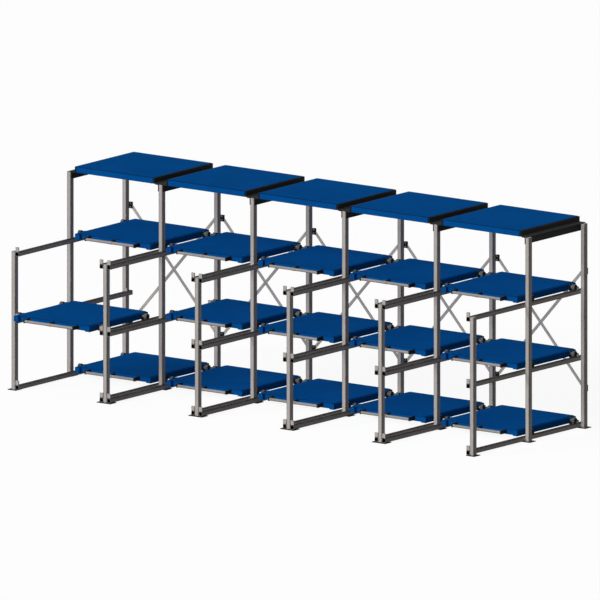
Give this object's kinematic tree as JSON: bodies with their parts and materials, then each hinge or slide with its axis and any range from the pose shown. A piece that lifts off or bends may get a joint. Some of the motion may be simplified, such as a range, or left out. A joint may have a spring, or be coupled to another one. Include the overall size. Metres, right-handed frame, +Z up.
{
  "type": "mould storage rack",
  "caption": "Open steel mould rack with bays of roll-out drawers on wheels, outrigger rails in front, fixed top shelves and crossed bracing at the back.",
  "frame": {"origin": "on the floor, under the middle of the rack's box with one drawer pulled out", "axes": "+X along the row of bays, +Z up, the drawers pull out towards -Y"},
  "size_m": [5.6, 2.0085, 2.052],
  "materials": {
    "post_paint": "satin warm grey paint",
    "rail_paint": "satin warm grey paint, worn by wheels",
    "stop_paint": "satin warm grey paint",
    "charcoal_paint": "satin charcoal paint",
    "blue_paint": "satin blue powder coat",
    "zinc": "zinc plated steel",
    "handle_paint": "satin warm grey paint",
    "wheel_tyre": "grey moulded tyre",
    "wheel_hub": "black cast hub"
  },
  "bodies": {
    "rack_frame": {"outrigger_posts": "post_paint", "front_posts": "post_paint", "rear_posts": "post_paint", "base_plates": "charcoal_paint", "rails_level_1": "rail_paint", "rails_level_2": "rail_paint", "rails_level_3": "rail_paint", "front_stops": "stop_paint", "rear_stops": "stop_paint", "top_beams": "charcoal_paint", "shelf_angles": "charcoal_paint", "shelf_decks": "blue_paint", "braces": "stop_paint", "brace_cleats": "charcoal_paint", "frame_bolts": "zinc"},
    "drawer_b1_l1": {"drawer_b1_l1": "blue_paint"},
    "front_wheels_b1_l1": {"front_wheels_b1_l1": "wheel_tyre"},
    "rear_wheels_b1_l1": {"rear_wheels_b1_l1": "wheel_tyre"},
    "drawer_b1_l2": {"drawer_b1_l2": "blue_paint"},
    "front_wheels_b1_l2": {"front_wheels_b1_l2": "wheel_tyre"},
    "rear_wheels_b1_l2": {"rear_wheels_b1_l2": "wheel_tyre"},
    "drawer_b1_l3": {"drawer_b1_l3": "blue_paint"},
    "front_wheels_b1_l3": {"front_wheels_b1_l3": "wheel_tyre"},
    "rear_wheels_b1_l3": {"rear_wheels_b1_l3": "wheel_tyre"},
    "drawer_b2_l1": {"drawer_b2_l1": "blue_paint"},
    "front_wheels_b2_l1": {"front_wheels_b2_l1": "wheel_tyre"},
    "rear_wheels_b2_l1": {"rear_wheels_b2_l1": "wheel_tyre"},
    "drawer_b2_l2": {"drawer_b2_l2": "blue_paint"},
    "front_wheels_b2_l2": {"front_wheels_b2_l2": "wheel_tyre"},
    "rear_wheels_b2_l2": {"rear_wheels_b2_l2": "wheel_tyre"},
    "drawer_b2_l3": {"drawer_b2_l3": "blue_paint"},
    "front_wheels_b2_l3": {"front_wheels_b2_l3": "wheel_tyre"},
    "rear_wheels_b2_l3": {"rear_wheels_b2_l3": "wheel_tyre"},
    "drawer_b3_l1": {"drawer_b3_l1": "blue_paint"},
    "front_wheels_b3_l1": {"front_wheels_b3_l1": "wheel_tyre"},
    "rear_wheels_b3_l1": {"rear_wheels_b3_l1": "wheel_tyre"},
    "drawer_b3_l2": {"drawer_b3_l2": "blue_paint"},
    "front_wheels_b3_l2": {"front_wheels_b3_l2": "wheel_tyre"},
    "rear_wheels_b3_l2": {"rear_wheels_b3_l2": "wheel_tyre"},
    "drawer_b3_l3": {"drawer_b3_l3": "blue_paint"},
    "front_wheels_b3_l3": {"front_wheels_b3_l3": "wheel_tyre"},
    "rear_wheels_b3_l3": {"rear_wheels_b3_l3": "wheel_tyre"},
    "drawer_b4_l1": {"drawer_b4_l1": "blue_paint"},
    "front_wheels_b4_l1": {"front_wheels_b4_l1": "wheel_tyre"},
    "rear_wheels_b4_l1": {"rear_wheels_b4_l1": "wheel_tyre"},
    "drawer_b4_l2": {"drawer_b4_l2": "blue_paint"},
    "front_wheels_b4_l2": {"front_wheels_b4_l2": "wheel_tyre"},
    "rear_wheels_b4_l2": {"rear_wheels_b4_l2": "wheel_tyre"},
    "drawer_b4_l3": {"drawer_b4_l3": "blue_paint"},
    "front_wheels_b4_l3": {"front_wheels_b4_l3": "wheel_tyre"},
    "rear_wheels_b4_l3": {"rear_wheels_b4_l3": "wheel_tyre"},
    "drawer_b5_l1": {"drawer_b5_l1": "blue_paint"},
    "front_wheels_b5_l1": {"front_wheels_b5_l1": "wheel_tyre"},
    "rear_wheels_b5_l1": {"rear_wheels_b5_l1": "wheel_tyre"},
    "drawer_b5_l2": {"drawer_b5_l2": "blue_paint"},
    "front_wheels_b5_l2": {"front_wheels_b5_l2": "wheel_tyre"},
    "rear_wheels_b5_l2": {"rear_wheels_b5_l2": "wheel_tyre"},
    "drawer_b5_l3": {"drawer_b5_l3": "blue_paint"},
    "front_wheels_b5_l3": {"front_wheels_b5_l3": "wheel_tyre"},
    "rear_wheels_b5_l3": {"rear_wheels_b5_l3": "wheel_tyre"}
  },
  "joints": [
    {"name": "slide_b1_l1", "type": "slide", "parent": "rack_frame", "child": "drawer_b1_l1", "axis": [0, -1, 0], "range_m": [0, 0.97]},
    {"name": "front_roll_b1_l1", "type": "hinge", "parent": "drawer_b1_l1", "child": "front_wheels_b1_l1", "pos_m": [-2.2, 0.17725, 0.0783], "axis": [1, 0, 0], "continuous": true},
    {"name": "rear_roll_b1_l1", "type": "hinge", "parent": "drawer_b1_l1", "child": "rear_wheels_b1_l1", "pos_m": [-2.2, 0.85625, 0.0783], "axis": [1, 0, 0], "continuous": true},
    {"name": "slide_b1_l2", "type": "slide", "parent": "rack_frame", "child": "drawer_b1_l2", "axis": [0, -1, 0], "range_m": [-0.97, 0]},
    {"name": "front_roll_b1_l2", "type": "hinge", "parent": "drawer_b1_l2", "child": "front_wheels_b1_l2", "pos_m": [-2.2, -0.79275, 0.7283], "axis": [1, 0, 0], "continuous": true},
    {"name": "rear_roll_b1_l2", "type": "hinge", "parent": "drawer_b1_l2", "child": "rear_wheels_b1_l2", "pos_m": [-2.2, -0.11375, 0.7283], "axis": [1, 0, 0], "continuous": true},
    {"name": "slide_b1_l3", "type": "slide", "parent": "rack_frame", "child": "drawer_b1_l3", "axis": [0, -1, 0], "range_m": [0, 0.97]},
    {"name": "front_roll_b1_l3", "type": "hinge", "parent": "drawer_b1_l3", "child": "front_wheels_b1_l3", "pos_m": [-2.2, 0.17725, 1.3783], "axis": [1, 0, 0], "continuous": true},
    {"name": "rear_roll_b1_l3", "type": "hinge", "parent": "drawer_b1_l3", "child": "rear_wheels_b1_l3", "pos_m": [-2.2, 0.85625, 1.3783], "axis": [1, 0, 0], "continuous": true},
    {"name": "slide_b2_l1", "type": "slide", "parent": "rack_frame", "child": "drawer_b2_l1", "axis": [0, -1, 0], "range_m": [0, 0.97]},
    {"name": "front_roll_b2_l1", "type": "hinge", "parent": "drawer_b2_l1", "child": "front_wheels_b2_l1", "pos_m": [-1.1, 0.17725, 0.0783], "axis": [1, 0, 0], "continuous": true},
    {"name": "rear_roll_b2_l1", "type": "hinge", "parent": "drawer_b2_l1", "child": "rear_wheels_b2_l1", "pos_m": [-1.1, 0.85625, 0.0783], "axis": [1, 0, 0], "continuous": true},
    {"name": "slide_b2_l2", "type": "slide", "parent": "rack_frame", "child": "drawer_b2_l2", "axis": [0, -1, 0], "range_m": [0, 0.97]},
    {"name": "front_roll_b2_l2", "type": "hinge", "parent": "drawer_b2_l2", "child": "front_wheels_b2_l2", "pos_m": [-1.1, 0.17725, 0.7283], "axis": [1, 0, 0], "continuous": true},
    {"name": "rear_roll_b2_l2", "type": "hinge", "parent": "drawer_b2_l2", "child": "rear_wheels_b2_l2", "pos_m": [-1.1, 0.85625, 0.7283], "axis": [1, 0, 0], "continuous": true},
    {"name": "slide_b2_l3", "type": "slide", "parent": "rack_frame", "child": "drawer_b2_l3", "axis": [0, -1, 0], "range_m": [0, 0.97]},
    {"name": "front_roll_b2_l3", "type": "hinge", "parent": "drawer_b2_l3", "child": "front_wheels_b2_l3", "pos_m": [-1.1, 0.17725, 1.3783], "axis": [1, 0, 0], "continuous": true},
    {"name": "rear_roll_b2_l3", "type": "hinge", "parent": "drawer_b2_l3", "child": "rear_wheels_b2_l3", "pos_m": [-1.1, 0.85625, 1.3783], "axis": [1, 0, 0], "continuous": true},
    {"name": "slide_b3_l1", "type": "slide", "parent": "rack_frame", "child": "drawer_b3_l1", "axis": [0, -1, 0], "range_m": [0, 0.97]},
    {"name": "front_roll_b3_l1", "type": "hinge", "parent": "drawer_b3_l1", "child": "front_wheels_b3_l1", "pos_m": [0, 0.17725, 0.0783], "axis": [1, 0, 0], "continuous": true},
    {"name": "rear_roll_b3_l1", "type": "hinge", "parent": "drawer_b3_l1", "child": "rear_wheels_b3_l1", "pos_m": [0, 0.85625, 0.0783], "axis": [1, 0, 0], "continuous": true},
    {"name": "slide_b3_l2", "type": "slide", "parent": "rack_frame", "child": "drawer_b3_l2", "axis": [0, -1, 0], "range_m": [0, 0.97]},
    {"name": "front_roll_b3_l2", "type": "hinge", "parent": "drawer_b3_l2", "child": "front_wheels_b3_l2", "pos_m": [0, 0.17725, 0.7283], "axis": [1, 0, 0], "continuous": true},
    {"name": "rear_roll_b3_l2", "type": "hinge", "parent": "drawer_b3_l2", "child": "rear_wheels_b3_l2", "pos_m": [0, 0.85625, 0.7283], "axis": [1, 0, 0], "continuous": true},
    {"name": "slide_b3_l3", "type": "slide", "parent": "rack_frame", "child": "drawer_b3_l3", "axis": [0, -1, 0], "range_m": [0, 0.97]},
    {"name": "front_roll_b3_l3", "type": "hinge", "parent": "drawer_b3_l3", "child": "front_wheels_b3_l3", "pos_m": [0, 0.17725, 1.3783], "axis": [1, 0, 0], "continuous": true},
    {"name": "rear_roll_b3_l3", "type": "hinge", "parent": "drawer_b3_l3", "child": "rear_wheels_b3_l3", "pos_m": [0, 0.85625, 1.3783], "axis": [1, 0, 0], "continuous": true},
    {"name": "slide_b4_l1", "type": "slide", "parent": "rack_frame", "child": "drawer_b4_l1", "axis": [0, -1, 0], "range_m": [0, 0.97]},
    {"name": "front_roll_b4_l1", "type": "hinge", "parent": "drawer_b4_l1", "child": "front_wheels_b4_l1", "pos_m": [1.1, 0.17725, 0.0783], "axis": [1, 0, 0], "continuous": true},
    {"name": "rear_roll_b4_l1", "type": "hinge", "parent": "drawer_b4_l1", "child": "rear_wheels_b4_l1", "pos_m": [1.1, 0.85625, 0.0783], "axis": [1, 0, 0], "continuous": true},
    {"name": "slide_b4_l2", "type": "slide", "parent": "rack_frame", "child": "drawer_b4_l2", "axis": [0, -1, 0], "range_m": [0, 0.97]},
    {"name": "front_roll_b4_l2", "type": "hinge", "parent": "drawer_b4_l2", "child": "front_wheels_b4_l2", "pos_m": [1.1, 0.17725, 0.7283], "axis": [1, 0, 0], "continuous": true},
    {"name": "rear_roll_b4_l2", "type": "hinge", "parent": "drawer_b4_l2", "child": "rear_wheels_b4_l2", "pos_m": [1.1, 0.85625, 0.7283], "axis": [1, 0, 0], "continuous": true},
    {"name": "slide_b4_l3", "type": "slide", "parent": "rack_frame", "child": "drawer_b4_l3", "axis": [0, -1, 0], "range_m": [0, 0.97]},
    {"name": "front_roll_b4_l3", "type": "hinge", "parent": "drawer_b4_l3", "child": "front_wheels_b4_l3", "pos_m": [1.1, 0.17725, 1.3783], "axis": [1, 0, 0], "continuous": true},
    {"name": "rear_roll_b4_l3", "type": "hinge", "parent": "drawer_b4_l3", "child": "rear_wheels_b4_l3", "pos_m": [1.1, 0.85625, 1.3783], "axis": [1, 0, 0], "continuous": true},
    {"name": "slide_b5_l1", "type": "slide", "parent": "rack_frame", "child": "drawer_b5_l1", "axis": [0, -1, 0], "range_m": [0, 0.97]},
    {"name": "front_roll_b5_l1", "type": "hinge", "parent": "drawer_b5_l1", "child": "front_wheels_b5_l1", "pos_m": [2.2, 0.17725, 0.0783], "axis": [1, 0, 0], "continuous": true},
    {"name": "rear_roll_b5_l1", "type": "hinge", "parent": "drawer_b5_l1", "child": "rear_wheels_b5_l1", "pos_m": [2.2, 0.85625, 0.0783], "axis": [1, 0, 0], "continuous": true},
    {"name": "slide_b5_l2", "type": "slide", "parent": "rack_frame", "child": "drawer_b5_l2", "axis": [0, -1, 0], "range_m": [0, 0.97]},
    {"name": "front_roll_b5_l2", "type": "hinge", "parent": "drawer_b5_l2", "child": "front_wheels_b5_l2", "pos_m": [2.2, 0.17725, 0.7283], "axis": [1, 0, 0], "continuous": true},
    {"name": "rear_roll_b5_l2", "type": "hinge", "parent": "drawer_b5_l2", "child": "rear_wheels_b5_l2", "pos_m": [2.2, 0.85625, 0.7283], "axis": [1, 0, 0], "continuous": true},
    {"name": "slide_b5_l3", "type": "slide", "parent": "rack_frame", "child": "drawer_b5_l3", "axis": [0, -1, 0], "range_m": [0, 0.97]},
    {"name": "front_roll_b5_l3", "type": "hinge", "parent": "drawer_b5_l3", "child": "front_wheels_b5_l3", "pos_m": [2.2, 0.17725, 1.3783], "axis": [1, 0, 0], "continuous": true},
    {"name": "rear_roll_b5_l3", "type": "hinge", "parent": "drawer_b5_l3", "child": "rear_wheels_b5_l3", "pos_m": [2.2, 0.85625, 1.3783], "axis": [1, 0, 0], "continuous": true}
  ],
  "couplings": [
    {"joint": "front_roll_b1_l1", "follows": "slide_b1_l1", "rad_per_m": 35.714},
    {"joint": "rear_roll_b1_l1", "follows": "slide_b1_l1", "rad_per_m": 35.714},
    {"joint": "front_roll_b1_l2", "follows": "slide_b1_l2", "rad_per_m": 35.714},
    {"joint": "rear_roll_b1_l2", "follows": "slide_b1_l2", "rad_per_m": 35.714},
    {"joint": "front_roll_b1_l3", "follows": "slide_b1_l3", "rad_per_m": 35.714},
    {"joint": "rear_roll_b1_l3", "follows": "slide_b1_l3", "rad_per_m": 35.714},
    {"joint": "front_roll_b2_l1", "follows": "slide_b2_l1", "rad_per_m": 35.714},
    {"joint": "rear_roll_b2_l1", "follows": "slide_b2_l1", "rad_per_m": 35.714},
    {"joint": "front_roll_b2_l2", "follows": "slide_b2_l2", "rad_per_m": 35.714},
    {"joint": "rear_roll_b2_l2", "follows": "slide_b2_l2", "rad_per_m": 35.714},
    {"joint": "front_roll_b2_l3", "follows": "slide_b2_l3", "rad_per_m": 35.714},
    {"joint": "rear_roll_b2_l3", "follows": "slide_b2_l3", "rad_per_m": 35.714},
    {"joint": "front_roll_b3_l1", "follows": "slide_b3_l1", "rad_per_m": 35.714},
    {"joint": "rear_roll_b3_l1", "follows": "slide_b3_l1", "rad_per_m": 35.714},
    {"joint": "front_roll_b3_l2", "follows": "slide_b3_l2", "rad_per_m": 35.714},
    {"joint": "rear_roll_b3_l2", "follows": "slide_b3_l2", "rad_per_m": 35.714},
    {"joint": "front_roll_b3_l3", "follows": "slide_b3_l3", "rad_per_m": 35.714},
    {"joint": "rear_roll_b3_l3", "follows": "slide_b3_l3", "rad_per_m": 35.714},
    {"joint": "front_roll_b4_l1", "follows": "slide_b4_l1", "rad_per_m": 35.714},
    {"joint": "rear_roll_b4_l1", "follows": "slide_b4_l1", "rad_per_m": 35.714},
    {"joint": "front_roll_b4_l2", "follows": "slide_b4_l2", "rad_per_m": 35.714},
    {"joint": "rear_roll_b4_l2", "follows": "slide_b4_l2", "rad_per_m": 35.714},
    {"joint": "front_roll_b4_l3", "follows": "slide_b4_l3", "rad_per_m": 35.714},
    {"joint": "rear_roll_b4_l3", "follows": "slide_b4_l3", "rad_per_m": 35.714},
    {"joint": "front_roll_b5_l1", "follows": "slide_b5_l1", "rad_per_m": 35.714},
    {"joint": "rear_roll_b5_l1", "follows": "slide_b5_l1", "rad_per_m": 35.714},
    {"joint": "front_roll_b5_l2", "follows": "slide_b5_l2", "rad_per_m": 35.714},
    {"joint": "rear_roll_b5_l2", "follows": "slide_b5_l2", "rad_per_m": 35.714},
    {"joint": "front_roll_b5_l3", "follows": "slide_b5_l3", "rad_per_m": 35.714},
    {"joint": "rear_roll_b5_l3", "follows": "slide_b5_l3", "rad_per_m": 35.714}
  ]
}
